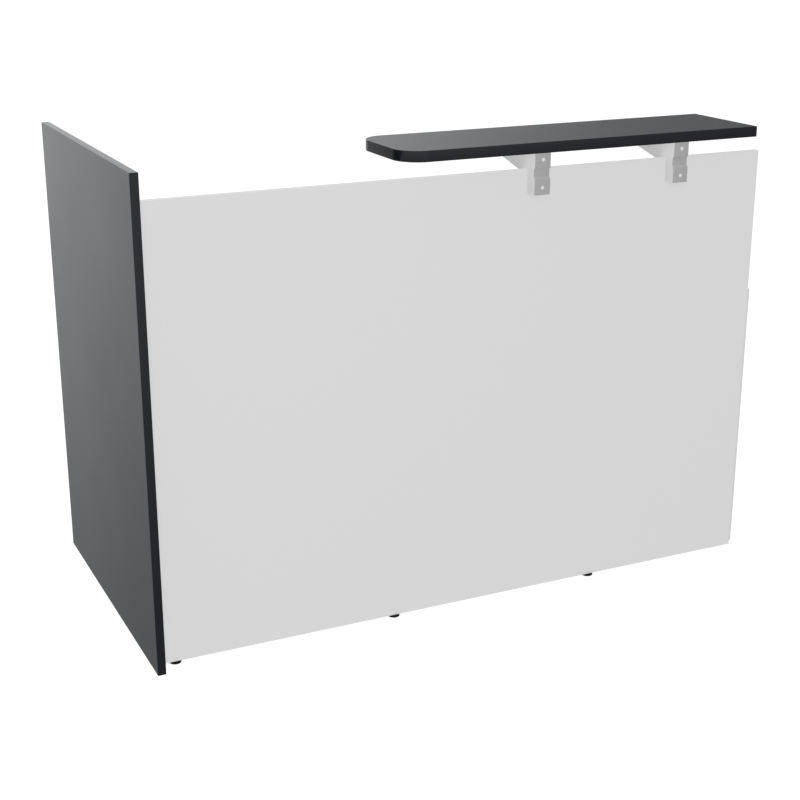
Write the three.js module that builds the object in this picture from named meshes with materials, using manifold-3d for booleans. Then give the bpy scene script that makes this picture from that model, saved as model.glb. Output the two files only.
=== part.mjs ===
// A reception desk: a tall end panel on the left, a front panel on levelling feet, a low end panel on
// the right, a worktop behind the front panel, and a counter shelf on two saddle brackets.
// Millimetres, +Z up, the visitor's side towards -Y, origin on the floor under the middle of the desk.
import * as THREE from 'three';
import { mergeVertices } from 'three/addons/utils/BufferGeometryUtils.js';
import Module from 'manifold-3d';

const wasm = await Module();
wasm.setup();

// Overall sizes
const overallWidth = 1600;
const overallDepth = 800;
const overallHeight = 1120;

// Boards and their edging
const panelThickness = 19; // left end panel and front panel
const endThickness = 25; // right end panel
const topThickness = 25; // worktop and counter shelf
const edgingThickness = 2;
const edgingRadius = 1;
const frontSetback = 38; // front panel's face behind the left panel's front edge
const frontOverlap = 5; // of the front panel over the right end panel's front edge
const floorGap = 6; // under the front panel and the right end panel
const worktopHeight = 724; // to its top face
const cableGap = 41; // between the front panel and the worktop

// Counter shelf
const shelfLength = 938;
const shelfDepth = 250;
const shelfCornerRadius = 60;
const shelfEndInset = 60; // from the desk's right end
const shelfGap = 41; // between the front panel's top edge and the shelf

// Shelf brackets
const bracketWidth = 39;
const bracketSpacing = 376;
const bracketEndInset = 213.5; // right bracket's middle from the shelf's right end
const bracketSetback = 3; // front plate behind the shelf's front edge
const bracketDrop = 54; // front plate below the front panel's top edge
const bracketSheet = 3;
const bracketBend = 4.5; // outer bend radius
const bracketInnerBend = bracketBend - bracketSheet;
const armHook = 10.5; // arm's root below the front panel's top edge
const armTipDepth = 9.5;
const armTipInset = 10; // arm's tip before the shelf's back edge
const joggleDepth = 5; // middle band of the front plate, set back
const joggleAbove = 6; // middle of the upper bend above the front panel's top edge
const joggleBelow = 16; // middle of the lower bend below that edge
const joggleTurn = Math.PI / 4; // of each bend
const saddleClearance = 0.5; // bracket to each face of the front panel

// Bracket fixings
const boltRadius = 2.5;
const boltHeadRadius = 4.2;
const boltHeadHeight = 1.4;
const boltHeadRim = 0.5; // straight part of the head's height
const boltCrownRadius = 1.8; // flat middle of the head
const boltTaper = 1.5;
const upperScrewInset = 15; // below the front plate's top
const lowerBoltInset = 16.5; // above the front plate's bottom
const crossBlockDepth = 12;
const crossBlockHeight = 14;
const insertRadius = 4.5;
const insertCover = 3; // board left behind the insert
const shelfScrewRadius = 2;
const shelfScrewLength = 15; // in the shelf
const shelfScrewTaper = 5;
const shelfScrewFirst = 100; // behind the front plate's face
const shelfScrewPitch = 90;
const screwTipRadius = 0.8;

// Levelling feet and their sockets
const footRadius = 13.5;
const footRound = 1.5;
const footStemRadius = 4;
const footStemLength = 25; // above the board's lower edge
const footFirst = 35; // from the front panel's left end
const footPitch = 544.5;
const footEndInset = 40; // from each end of the right end panel
const socketRadius = 5.5;
const socketSpare = 3; // sleeve past the stem's end
const socketFlangeRadius = 9;
const socketFlange = 1;
const footClearance = 0.25;

// Cam fittings
const camRadius = 7.5;
const camBelowBolt = 3.5; // drum past the bolt's axis
const camInset = 24; // drum's axis from the joint
const camRecessWidth = 1.5;
const camRecessLength = 8;
const camRecessDepth = 2;
const camEndInset = 100; // outer fittings from the front panel's ends
const camTopInset = 120; // worktop fittings from the right end panel's ends
const camThreadRadius = 2.5;
const camThreadLength = 11;
const camShankRadius = 3.5;
const camNeckRadius = 2.2;
const camNeckLength = 5;
const camHeadRadius = 3.2;
const camHeadLength = 3.5;

// Worktop arms and angle plates
const plateSheet = 3;
const plateBend = 5;
const armWidth = 40;
const armHeight = 110;
const armReach = 160;
const armSpacing = 700;
const armHoleSide = 11; // screw holes from the rib
const armHoleInset = 22; // outer screw holes from the leaf's end
const armHolePitch = 50;
const angleLeaf = 30;
const angleLength = 80;
const angleHoleInset = 18; // screw holes from each end
const angleInset = 120; // worktop's angle plates from its long edges
const cornerAngleInset = 150; // corner angle plates from the right end panel's ends
const screwHoleRadius = 2.5;

// Clearances and facets
const seatGap = 0.25; // between pieces that bear on each other
const fitClearance = 0.3; // round a fixing in its hole
const cutMargin = 1; // a hole's cutting form past each end of the hole
const tipChamfer = 1; // at the ends of stems and threads
const mergeDistance = 1e-4;
const roundSides = 24;
const smallRound = 6; // largest radius of a small round
const smallSides = 12;
const cornerSides = 10;
const bendSides = 3;
const joggleSides = 2;

// Places that follow from the sizes above
const frontWidth = overallWidth - panelThickness - endThickness + frontOverlap;
const frontHeight = overallHeight - topThickness - shelfGap - floorGap;
const frontRear = frontSetback + panelThickness;
const endDepth = overallDepth - frontRear;
const endHeight = worktopHeight - topThickness - floorGap;
const worktopLength = overallWidth - panelThickness;
const worktopDepth = endDepth - cableGap;
const shelfLeft = overallWidth - shelfEndInset - shelfLength;
const shelfUnderside = overallHeight - topThickness;
const rightBracket = overallWidth - shelfEndInset - bracketEndInset;
const bracketCentres = { left: rightBracket - bracketSpacing, right: rightBracket };
const plateHeight = shelfGap + bracketDrop;
const panelFace = frontSetback - bracketSetback; // front panel's face behind the front plate's
const panelRear = panelFace + panelThickness;
const shelfScrewPlaces = { front: shelfScrewFirst, rear: shelfScrewFirst + shelfScrewPitch };
const boltHole = boltRadius + fitClearance;
const insertLength = panelThickness - insertCover;
const socketLength = footStemLength + socketSpare;

// Directions
const X = new THREE.Vector3(1, 0, 0);
const Y = new THREE.Vector3(0, 1, 0);
const Z = new THREE.Vector3(0, 0, 1);
const back = (direction) => direction.clone().negate();
const basis = (x, y, z) => new THREE.Matrix4().makeBasis(x, y, z);
const turnTo = { x: basis(Z, X, Y), y: basis(X, Y, Z), z: basis(Y, Z, X) };

// Finishes
const finish = (color, roughness, metalness) =>
  new THREE.MeshStandardMaterial({ color, roughness, metalness });
const darkBoard = finish(0x26272a, 0.35, 0);
const darkEdging = finish(0x1c1d20, 0.4, 0);
const whiteBoard = finish(0xe6e6e6, 0.45, 0);
const whiteEdging = finish(0xdedede, 0.5, 0);
const lightSteel = finish(0xdcdcdc, 0.45, 0);
const silverSteel = finish(0xb4b5b7, 0.35, 0.6);
const zincSteel = finish(0xc9ccd0, 0.3, 0.9);
const diecastZinc = finish(0x9a9da1, 0.45, 0.8);
const blackSteel = finish(0x161616, 0.6, 0);

// A geometry as a solid that can be cut and joined, and a solid as a geometry.
function solidOf(geometry) {
  const bare = geometry.clone();
  bare.deleteAttribute('normal');
  bare.deleteAttribute('uv');
  const merged = mergeVertices(bare, mergeDistance);
  const vertProperties = merged.attributes.position.array;
  const triVerts = new Uint32Array(merged.index.array);
  return new wasm.Manifold(new wasm.Mesh({ numProp: 3, vertProperties, triVerts }));
}

function geometryOf(solid) {
  const { vertProperties, triVerts } = solid.getMesh();
  const geometry = new THREE.BufferGeometry();
  geometry.setAttribute('position', new THREE.BufferAttribute(vertProperties, 3));
  geometry.setIndex(new THREE.BufferAttribute(triVerts, 1));
  geometry.computeVertexNormals();
  return geometry;
}

const cut = (geometry, tools) =>
  geometryOf(tools.reduce((solid, tool) => solid.subtract(solidOf(tool)), solidOf(geometry)));
const join = (geometries) => geometryOf(geometries.map(solidOf).reduce((a, b) => a.add(b)));
const common = (a, b) => geometryOf(solidOf(a).intersect(solidOf(b)));

// Basic forms: a box from its low corner, an outline carried along Z, an outline of [Y, Z] points carried
// along X and centred on it, and a profile of [radius, height] pairs turned about an axis.
const box = (x, y, z) => new THREE.BoxGeometry(x, y, z).translate(x / 2, y / 2, z / 2);

const shapeOf = (points) => new THREE.Shape(points.map(([u, v]) => new THREE.Vector2(u, v)));

function extrude(outline, length, curveSegments = bendSides) {
  const shape = Array.isArray(outline) ? shapeOf(outline) : outline;
  return new THREE.ExtrudeGeometry(shape, { depth: length, bevelEnabled: false, curveSegments });
}

const extrudeAcross = (outline, width) =>
  extrude(outline, width).applyMatrix4(basis(Y, Z, X)).translate(-width / 2, 0, 0);

function turned(profile, axis) {
  const points = profile.map(([radius, height]) => new THREE.Vector2(radius, height));
  const largest = Math.max(...profile.map(([radius]) => radius));
  const sides = largest > smallRound ? roundSides : smallSides;
  return new THREE.LatheGeometry(points, sides).applyMatrix4(turnTo[axis]);
}

// Round forms along an axis from the origin: a rod, the cutting form of a hole, and an open sleeve.
const rod = (radius, length, axis) => turned([[0, 0], [radius, 0], [radius, length], [0, length]], axis);

function hole(radius, depth, axis) {
  const end = depth + cutMargin;
  return turned([[0, -cutMargin], [radius, -cutMargin], [radius, end], [0, end]], axis);
}

const sleeve = (bore, radius, length, axis) =>
  turned([[bore, 0], [radius, 0], [radius, length], [bore, length], [bore, 0]], axis);

// Adds a named piece to a group, at a place in that group.
function add(group, name, geometry, material, x = 0, y = 0, z = 0) {
  const piece = new THREE.Mesh(geometry, material);
  piece.name = name;
  piece.position.set(x, y, z);
  group.add(piece);
}

function groupAt(parent, x, y, z) {
  const group = new THREE.Group();
  group.position.set(x, y, z);
  parent.add(group);
  return group;
}

// A strip of edging, centred on the board's thickness, with its two outer edges rounded.
// It starts at the origin, stands out along outward and runs along its length.
function edgingStrip(thickness, length, outward, along) {
  const half = thickness / 2;
  const shape = new THREE.Shape();
  const shoulder = edgingThickness - edgingRadius;
  shape.moveTo(-half, 0);
  shape.lineTo(half, 0);
  shape.lineTo(half, shoulder);
  shape.absarc(half - edgingRadius, shoulder, edgingRadius, 0, Math.PI / 2);
  shape.absarc(-half + edgingRadius, shoulder, edgingRadius, Math.PI / 2, Math.PI);
  const across = outward.clone().cross(along);
  return extrude(shape, length).applyMatrix4(basis(across, outward, along));
}

// Cam fitting: a slotted drum sunk in one board's face, and a bolt from the other board whose head it
// holds. The origin is on the drum's axis at the face, the drum goes down along -Y, the bolt along -X.
const camDepth = (thickness) => thickness / 2 + camBelowBolt;

function camDrum(thickness) {
  const depth = camDepth(thickness);
  const drum = rod(camRadius, depth, 'y').translate(0, -depth, 0);
  const slot = (length, half) =>
    box(length, camBelowBolt + half + cutMargin, 2 * half).translate(-length, -depth - cutMargin, -half);
  const recess = (x, z) => box(x, camRecessDepth + cutMargin, z).translate(-x / 2, -camRecessDepth, -z / 2);
  const headSlot = slot(camHeadLength + 2 * fitClearance, camHeadRadius + fitClearance);
  return cut(drum, [
    slot(2 * camRadius, camNeckRadius + fitClearance),
    headSlot.translate(fitClearance, 0, 0),
    recess(camRecessLength, camRecessWidth),
    recess(camRecessWidth, camRecessLength),
  ]);
}

function camBolt(thickness) {
  const tip = -camInset - camThreadLength;
  const neckStart = -camHeadLength - camNeckLength;
  const shankStart = -camInset + tipChamfer;
  const profile = [
    [0, tip],
    [camThreadRadius - tipChamfer, tip],
    [camThreadRadius, tip + tipChamfer],
    [camThreadRadius, -camInset],
    [camShankRadius, shankStart],
    [camShankRadius, neckStart],
    [camNeckRadius, neckStart],
    [camNeckRadius, -camHeadLength],
    [camHeadRadius, -camHeadLength],
    [camHeadRadius, 0],
    [0, 0],
  ];
  return turned(profile, 'x').translate(0, -thickness / 2, 0);
}

// Holes for the fitting: the drum's and the shank's in its own board, the thread's in the other board.
function camHoles(thickness) {
  const depth = camDepth(thickness);
  const drumHole = hole(camRadius + fitClearance, depth, 'y').translate(0, -depth, 0);
  const shankHole = hole(camShankRadius + fitClearance, camInset, 'x');
  return [drumHole, shankHole.translate(-camInset, -thickness / 2, 0)];
}

function camPilot(thickness) {
  const pilot = hole(camThreadRadius + fitClearance, camThreadLength, 'x');
  return pilot.translate(-camInset - camThreadLength, -thickness / 2, 0);
}

// A cam fitting's place is a matrix in its own board's frame.
const placed = (geometry, place) => geometry.clone().applyMatrix4(place);

function addCam(group, name, thickness, place) {
  add(group, `cam_${name}`, placed(camDrum(thickness), place), diecastZinc);
  add(group, `cam_bolt_${name}`, placed(camBolt(thickness), place), zincSteel);
}

// Levelling foot: a round pad on a threaded stem, turning in a sleeve pressed into a board's lower edge.
// The origin is on the board's lower edge.
const footTop = -socketFlange - seatGap;
const socketHole = () => hole(socketRadius + fitClearance, socketLength, 'z');

function footPad() {
  const edgeRound = footRound / 2;
  const profile = [
    [0, -floorGap],
    [footRadius - footRound, -floorGap],
    [footRadius, -floorGap + footRound],
    [footRadius, footTop - edgeRound],
    [footRadius - edgeRound, footTop],
    [footStemRadius, footTop],
    [footStemRadius, footStemLength - tipChamfer],
    [footStemRadius - tipChamfer, footStemLength],
    [0, footStemLength],
  ];
  return turned(profile, 'z');
}

// The sleeve has a flange below the board's edge.
function footSocket() {
  const bore = footStemRadius + footClearance;
  const flange = [[bore, -socketFlange], [socketFlangeRadius, -socketFlange], [socketFlangeRadius, 0]];
  const tube = [[socketRadius, 0], [socketRadius, socketLength], [bore, socketLength]];
  return turned([...flange, ...tube, [bore, -socketFlange]], 'z');
}

function addFoot(group, name, x, y) {
  add(group, `socket_${name}`, footSocket(), zincSteel, x, y, -seatGap / 2);
  add(group, `foot_${name}`, footPad(), blackSteel, x, y, 0);
}

// An angle's outline: two leaves with a rounded bend between them, its corner at the origin.
function angleOutline(first, second, sheet, bend) {
  const shape = new THREE.Shape();
  shape.moveTo(bend, 0);
  shape.lineTo(first, 0);
  shape.lineTo(first, sheet);
  shape.lineTo(bend, sheet);
  shape.absarc(bend, bend, bend - sheet, -Math.PI / 2, Math.PI, true);
  shape.lineTo(sheet, second);
  shape.lineTo(0, second);
  shape.lineTo(0, bend);
  shape.absarc(bend, bend, bend, Math.PI, 1.5 * Math.PI);
  return shape;
}

// An angle plate along its bend, with two screw holes in each leaf.
function anglePlate() {
  const plate = extrude(angleOutline(angleLeaf, angleLeaf, plateSheet, plateBend), angleLength);
  const middle = (angleLeaf + plateBend) / 2;
  const holes = [angleHoleInset, angleLength - angleHoleInset].flatMap((z) => [
    hole(screwHoleRadius, plateSheet, 'y').translate(middle, 0, z),
    hole(screwHoleRadius, plateSheet, 'x').translate(0, middle, z),
  ]);
  return cut(plate, holes);
}

// The whole desk, laid out from its left front corner on the floor.
const receptionDesk = new THREE.Group();
const desk = groupAt(receptionDesk, -overallWidth / 2, -overallDepth / 2, 0);

// Cam places: three up the front panel's left end, two along the right end panel's top.
const frontCamHeights = { lower: camEndInset, middle: frontHeight / 2, upper: frontHeight - camEndInset };
const frontCamPlace = (height) => new THREE.Matrix4().setPosition(camInset, panelThickness, height);
const worktopCamPlaces = { front: camTopInset, rear: endDepth - camTopInset };
const worktopCamPlace = (y) => basis(back(Z), back(X), Y).setPosition(0, y, endHeight - camInset);

// Left end panel
{
  const leftEnd = groupAt(desk, 0, 0, 0);
  const middle = panelThickness / 2;
  const pilot = camPilot(panelThickness).translate(panelThickness, frontSetback, floorGap);
  const pilots = Object.values(frontCamHeights).map((height) => placed(pilot, frontCamPlace(height)));
  const core = box(panelThickness, overallDepth - 2 * edgingThickness, overallHeight - edgingThickness);
  const sideStrip = (outward) => edgingStrip(panelThickness, overallHeight, outward, Z);
  add(leftEnd, 'left_end_panel', cut(core.translate(0, edgingThickness, 0), pilots), darkBoard);
  add(leftEnd, 'left_end_front_edging', sideStrip(back(Y)), darkEdging, middle, edgingThickness, 0);
  add(leftEnd, 'left_end_rear_edging', sideStrip(Y), darkEdging, middle, overallDepth - edgingThickness, 0);
  const topStrip = edgingStrip(panelThickness, overallDepth - 2 * edgingThickness, Z, Y);
  const stripFoot = overallHeight - edgingThickness;
  add(leftEnd, 'left_end_top_edging', topStrip, darkEdging, middle, edgingThickness, stripFoot);
}

// Front panel, with the feet, cams and bracket inserts that it holds
{
  const front = groupAt(desk, panelThickness, frontSetback, floorGap);
  const middle = panelThickness / 2;
  const feet = {
    front_left: footFirst,
    front_middle: footFirst + footPitch,
    front_right: footFirst + 2 * footPitch,
  };
  const insertHeight = frontHeight - bracketDrop + lowerBoltInset;
  const insertPlaces = Object.entries(bracketCentres)
    .map(([side, centre]) => [side, centre - panelThickness]);
  const core = cut(box(frontWidth - edgingThickness, panelThickness, frontHeight - edgingThickness), [
    ...Object.values(frontCamHeights).flatMap((height) =>
      camHoles(panelThickness).map((hole) => placed(hole, frontCamPlace(height)))),
    ...Object.values(feet).map((x) => socketHole().translate(x, middle, 0)),
    ...insertPlaces.map(([, x]) =>
      hole(insertRadius + fitClearance, insertLength, 'y').translate(x, 0, insertHeight)),
  ]);
  add(front, 'front_panel', core, whiteBoard);
  const topStrip = edgingStrip(panelThickness, frontWidth - edgingThickness, Z, X);
  add(front, 'front_panel_top_edging', topStrip, whiteEdging, 0, middle, frontHeight - edgingThickness);
  const rightStrip = edgingStrip(panelThickness, frontHeight, X, Z);
  add(front, 'front_panel_right_edging', rightStrip, whiteEdging, frontWidth - edgingThickness, middle, 0);

  Object.entries(feet).forEach(([name, x]) => addFoot(front, name, x, middle));
  Object.entries(frontCamHeights).forEach(([name, height]) =>
    addCam(front, `front_${name}`, panelThickness, frontCamPlace(height)));

  const insert = sleeve(boltHole, insertRadius, insertLength, 'y');
  insertPlaces.forEach(([side, x]) =>
    add(front, `bracket_${side}_panel_insert`, insert, zincSteel, x, 0, insertHeight));
}

// Right end panel, with its feet and the cams that hold the worktop
{
  const rightEnd = groupAt(desk, overallWidth - endThickness, frontRear, floorGap);
  const middle = endThickness / 2;
  const feet = { end_front: footEndInset, end_rear: endDepth - footEndInset };
  const core = box(endThickness, endDepth - 2 * edgingThickness, endHeight);
  const holes = [
    ...Object.values(worktopCamPlaces).flatMap((y) =>
      camHoles(endThickness).map((hole) => placed(hole, worktopCamPlace(y)))),
    ...Object.values(feet).map((y) => socketHole().translate(middle, y, 0)),
  ];
  add(rightEnd, 'right_end_panel', cut(core.translate(0, edgingThickness, 0), holes), whiteBoard);
  const sideStrip = (outward) => edgingStrip(endThickness, endHeight, outward, Z);
  add(rightEnd, 'right_end_front_edging', sideStrip(back(Y)), whiteEdging, middle, edgingThickness, 0);
  add(rightEnd, 'right_end_rear_edging', sideStrip(Y), whiteEdging, middle, endDepth - edgingThickness, 0);

  Object.entries(feet).forEach(([name, y]) => addFoot(rightEnd, name, middle, y));
  Object.entries(worktopCamPlaces).forEach(([name, y]) =>
    addCam(rightEnd, `worktop_${name}`, endThickness, worktopCamPlace(y)));

  // Angle plates in the corner with the front panel, one leaf on each board
  const cornerPlate = anglePlate().applyMatrix4(basis(Y, back(X), Z));
  const corners = { lower: cornerAngleInset, upper: endHeight - cornerAngleInset - angleLength };
  Object.entries(corners).forEach(([name, z]) =>
    add(rightEnd, `corner_angle_${name}`, cornerPlate, zincSteel, -seatGap, seatGap, z));
}

// Worktop, with the arms and angle plates that carry it
{
  const worktop = groupAt(desk, panelThickness, frontRear + cableGap, worktopHeight - topThickness);
  const middle = topThickness / 2;
  const endLeft = worktopLength - endThickness;
  const pilots = Object.values(worktopCamPlaces).map((y) =>
    placed(camPilot(endThickness), worktopCamPlace(y)).translate(endLeft, -cableGap, -endHeight));
  const core = box(worktopLength - edgingThickness, worktopDepth - 2 * edgingThickness, topThickness);
  add(worktop, 'worktop', cut(core.translate(0, edgingThickness, 0), pilots), darkBoard);
  const longStrip = (outward) => edgingStrip(topThickness, worktopLength - edgingThickness, outward, X);
  add(worktop, 'worktop_cable_edging', longStrip(back(Y)), darkEdging, 0, edgingThickness, middle);
  add(worktop, 'worktop_user_edging', longStrip(Y), darkEdging, 0, worktopDepth - edgingThickness, middle);
  const endStrip = edgingStrip(topThickness, worktopDepth, X, Y);
  add(worktop, 'worktop_right_edging', endStrip, darkEdging, worktopLength - edgingThickness, 0, middle);

  // Arms: an angle with a rib, one leaf on the front panel's back, the other under the worktop
  const armOutline = angleOutline(armReach, armHeight, plateSheet, plateBend);
  const ribFoot = plateSheet / 2;
  const rib = [[ribFoot, ribFoot], [armReach - plateBend, ribFoot], [ribFoot, armHeight - plateBend]];
  const armHoles = [0, armHolePitch].flatMap((step) => [-armHoleSide, armHoleSide].flatMap((side) => [
    hole(screwHoleRadius, plateSheet, 'z').translate(side, armReach - armHoleInset - step, 0),
    hole(screwHoleRadius, plateSheet, 'y').translate(side, 0, armHeight - armHoleInset - step),
  ]));
  const ribbed = join([extrudeAcross(armOutline, armWidth), extrudeAcross(rib, plateSheet)]);
  const arm = cut(ribbed, armHoles).applyMatrix4(basis(back(X), Y, back(Z)));
  const arms = { left: worktopLength / 2 - armSpacing / 2, right: worktopLength / 2 + armSpacing / 2 };
  Object.entries(arms).forEach(([name, x]) =>
    add(worktop, `worktop_arm_${name}`, arm, lightSteel, x, -cableGap + seatGap, -seatGap));

  // Angle plates on the left end panel
  const endPlate = anglePlate().applyMatrix4(basis(X, back(Z), Y));
  const plates = { front: angleInset, rear: worktopDepth - angleInset - angleLength };
  Object.entries(plates).forEach(([name, y]) =>
    add(worktop, `worktop_angle_${name}`, endPlate, zincSteel, seatGap, y, -seatGap));
}

// Counter shelf: rounded at its left corners, square at its right end
{
  const shelf = groupAt(desk, shelfLeft, 0, shelfUnderside);
  const roundedEnd = (inset) => {
    const radius = shelfCornerRadius - inset;
    const centre = shelfCornerRadius;
    const shape = new THREE.Shape();
    shape.moveTo(shelfLength, inset);
    shape.lineTo(shelfLength, shelfDepth - inset);
    shape.lineTo(centre, shelfDepth - inset);
    shape.absarc(centre, shelfDepth - centre, radius, Math.PI / 2, Math.PI);
    shape.absarc(centre, centre, radius, Math.PI, 1.5 * Math.PI);
    return shape;
  };
  const endCut = box(shelfLength, 2 * shelfDepth, 2 * topThickness)
    .translate(shelfLength - edgingThickness, -shelfDepth / 2, -topThickness / 2);
  const coreBlank = (height) => extrude(roundedEnd(edgingThickness), height, cornerSides);

  const pilot = hole(shelfScrewRadius + fitClearance, shelfScrewLength, 'z');
  const pilots = Object.values(bracketCentres).flatMap((centre) =>
    Object.values(shelfScrewPlaces).map((y) =>
      pilot.clone().translate(centre - shelfLeft, bracketSetback + y, 0)));
  add(shelf, 'counter_shelf', cut(coreBlank(topThickness), [endCut, ...pilots]), darkBoard);

  // One strip runs round the back edge, the rounded end and the front edge
  const rounded = new THREE.ExtrudeGeometry(roundedEnd(0), {
    depth: topThickness - 2 * edgingRadius,
    bevelSize: edgingRadius,
    bevelOffset: -edgingRadius,
    bevelThickness: edgingRadius,
    bevelSegments: bendSides,
    curveSegments: cornerSides,
  }).translate(0, 0, edgingRadius);
  const wrap = cut(rounded, [coreBlank(2 * topThickness).translate(0, 0, -topThickness / 2), endCut]);
  add(shelf, 'counter_shelf_wrap_edging', wrap, darkEdging);
  const endStrip = edgingStrip(topThickness, shelfDepth, X, Y);
  const stripFoot = shelfLength - edgingThickness;
  add(shelf, 'counter_shelf_right_edging', endStrip, darkEdging, stripFoot, 0, topThickness / 2);
}

// Shelf bracket: a folded channel that sits over the front panel's top edge, with a tapered arm behind
// it and a joggled plate across its front. Its frame is at the plate's face under the shelf.

// Side view of the front plate as a line from bottom to top, at a distance behind its face: two bends set
// the middle band back and two bring it forward again. The rise is half the height of such a pair.
function joggleLine(behind) {
  const radii = bracketBend + bracketInnerBend;
  const slope = (joggleDepth - radii * (1 - Math.cos(joggleTurn))) / Math.tan(joggleTurn);
  const rise = (radii * Math.sin(joggleTurn) + slope) / 2;
  const lower = -shelfGap - joggleBelow;
  const upper = -shelfGap + joggleAbove;
  const outer = bracketBend - behind;
  const inner = bracketInnerBend + behind;
  const innerCentre = joggleDepth - bracketInnerBend;
  const line = new THREE.Path();
  line.moveTo(behind, -plateHeight);
  line.lineTo(behind, lower - rise);
  line.absarc(bracketBend, lower - rise, outer, Math.PI, Math.PI - joggleTurn, true);
  line.absarc(innerCentre, lower + rise, inner, -joggleTurn, 0);
  line.absarc(innerCentre, upper - rise, inner, 0, joggleTurn);
  line.absarc(bracketBend, upper + rise, outer, Math.PI + joggleTurn, Math.PI, true);
  line.lineTo(behind, -seatGap);
  return line.getPoints(joggleSides);
}

// The channel's section: a top flange with a cheek folded down at each side.
function channelSection() {
  const half = bracketWidth / 2;
  const shape = new THREE.Shape();
  shape.moveTo(half, -plateHeight);
  shape.lineTo(half, -bracketBend);
  shape.absarc(half - bracketBend, -bracketBend, bracketBend, 0, Math.PI / 2);
  shape.absarc(-half + bracketBend, -bracketBend, bracketBend, Math.PI / 2, Math.PI);
  shape.lineTo(-half, -plateHeight);
  shape.lineTo(-half + bracketSheet, -plateHeight);
  shape.lineTo(-half + bracketSheet, -bracketBend);
  shape.absarc(-half + bracketBend, -bracketBend, bracketInnerBend, Math.PI, Math.PI / 2, true);
  shape.absarc(half - bracketBend, -bracketBend, bracketInnerBend, Math.PI / 2, 0, true);
  shape.lineTo(half - bracketSheet, -plateHeight);
  return shape;
}

function bracketChannel() {
  const armTip = shelfDepth - armTipInset - bracketSetback;
  const slotFront = panelFace - saddleClearance;
  const slotRear = panelRear + saddleClearance;
  const slotTop = -shelfGap + seatGap;
  const armRoot = -shelfGap - armHook;
  const sideView = [
    ...joggleLine(bracketSheet + seatGap),
    [armTip, -seatGap],
    [armTip, -armTipDepth],
    [slotRear, armRoot],
    [slotRear, slotTop],
    [slotFront, slotTop],
    [slotFront, -plateHeight],
  ];
  const section = extrude(channelSection(), armTip)
    .applyMatrix4(basis(X, Z, back(Y)))
    .translate(0, armTip, -seatGap);
  const channel = common(section, extrudeAcross(sideView, bracketWidth));

  // The saddle: a strip between the cheeks, down the panel's face, over its top edge and behind it
  const saddle = new THREE.Shape();
  const saddleTop = slotTop + bracketSheet;
  saddle.moveTo(slotFront - bracketSheet, -plateHeight);
  saddle.lineTo(slotFront, -plateHeight);
  saddle.lineTo(slotFront, slotTop);
  saddle.lineTo(slotRear, slotTop);
  saddle.lineTo(slotRear, armRoot);
  saddle.lineTo(slotRear + bracketSheet, armRoot);
  saddle.lineTo(slotRear + bracketSheet, saddleTop - bracketSheet);
  saddle.absarc(slotRear, saddleTop - bracketSheet, bracketSheet, 0, Math.PI / 2);
  saddle.absarc(slotFront, saddleTop - bracketSheet, bracketSheet, Math.PI / 2, Math.PI);
  const folded = join([channel, extrudeAcross(saddle, bracketWidth - bracketSheet)]);

  return cut(folded, [
    hole(boltHole, bracketSheet, 'y').translate(0, slotFront - bracketSheet, -plateHeight + lowerBoltInset),
    ...Object.values(shelfScrewPlaces).map((y) =>
      hole(shelfScrewRadius + fitClearance, bracketSheet, 'z').translate(0, y, -seatGap - bracketSheet)),
  ]);
}

function frontPlate() {
  const outline = [...joggleLine(0), ...joggleLine(bracketSheet).reverse()];
  const holes = [-upperScrewInset, -plateHeight + lowerBoltInset].map((z) =>
    hole(boltHole, bracketSheet, 'y').translate(0, 0, z));
  return cut(extrudeAcross(outline, bracketWidth), holes);
}

function crossBlock() {
  const width = bracketWidth - 2 * bracketSheet - 2 * fitClearance;
  const block = box(width, crossBlockDepth, crossBlockHeight);
  const thread = hole(boltHole, crossBlockDepth, 'y');
  return cut(block.translate(-width / 2, 0, -crossBlockHeight / 2), [thread]);
}

// A screw along an axis, its domed head before the origin and its shank after it, ending in a taper.
function screw(radius, length, taper, axis) {
  const crown = [[0, -boltHeadHeight], [boltCrownRadius, -boltHeadHeight]];
  const rim = [[boltHeadRadius, -boltHeadRim], [boltHeadRadius, 0]];
  const shank = [[radius, 0], [radius, length - taper], [screwTipRadius, length], [0, length]];
  return turned([...crown, ...rim, ...shank], axis);
}

Object.entries(bracketCentres).forEach(([side, centre]) => {
  const bracket = groupAt(desk, centre, bracketSetback, shelfUnderside);
  const name = (piece) => `bracket_${side}_${piece}`;
  add(bracket, name('channel'), bracketChannel(), lightSteel);
  add(bracket, name('front_plate'), frontPlate(), silverSteel);
  add(bracket, name('cross_block'), crossBlock(), zincSteel, 0, bracketSheet + seatGap, -upperScrewInset);
  const upperScrew = screw(boltRadius, bracketSheet + crossBlockDepth, boltTaper, 'y');
  add(bracket, name('upper_screw'), upperScrew, zincSteel, 0, -seatGap, -upperScrewInset);
  const lowerBolt = screw(boltRadius, panelFace + insertLength, boltTaper, 'y');
  add(bracket, name('lower_bolt'), lowerBolt, zincSteel, 0, -seatGap, -plateHeight + lowerBoltInset);
  const shelfScrew = screw(shelfScrewRadius, bracketSheet + shelfScrewLength, shelfScrewTaper, 'z');
  Object.entries(shelfScrewPlaces).forEach(([place, y]) =>
    add(bracket, name(`shelf_screw_${place}`), shelfScrew, zincSteel, 0, y, -bracketSheet - 2 * seatGap));
});

export default receptionDesk;
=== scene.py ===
# A reception desk: dark end panel, white front panel on levelling feet, worktop and raised counter shelf.
# Metres, +Z up, the visitor's side towards -Y, origin on the floor under the middle of the desk.
import math

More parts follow.
